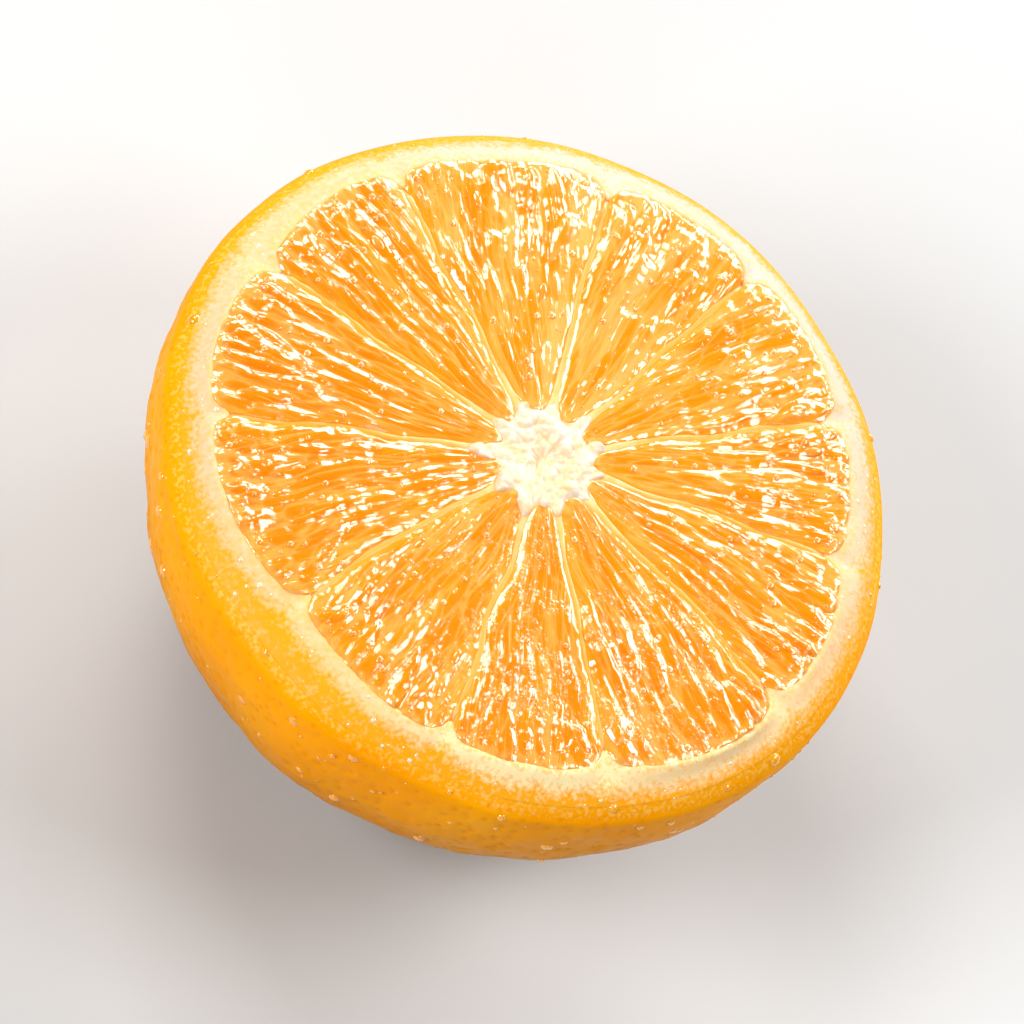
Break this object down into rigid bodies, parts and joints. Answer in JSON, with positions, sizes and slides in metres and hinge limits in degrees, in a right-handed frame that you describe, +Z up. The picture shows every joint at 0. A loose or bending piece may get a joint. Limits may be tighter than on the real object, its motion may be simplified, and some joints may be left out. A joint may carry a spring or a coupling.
{
  "type": "orange half",
  "caption": "Half of a citrus fruit cut across its stem axis, with a thick peel, pale pith and wedges of juicy flesh, lying cut face up as food or dressing for a table.",
  "frame": {"origin": "centre of the flat spot on the dome that the half rests on, under the middle of its box", "axes": "+Z up along the stem axis, out of the cut face; the picture looks from the -Y side, 57 degrees above the table"},
  "size_m": [0.0782, 0.0788, 0.0404],
  "materials": {
    "skin": "waxy peel with fine pores",
    "pith": "soft and dull",
    "flesh": "wet and translucent"
  },
  "bodies": {
    "root": {"orange_half": "skin"}
  },
  "joints": []
}
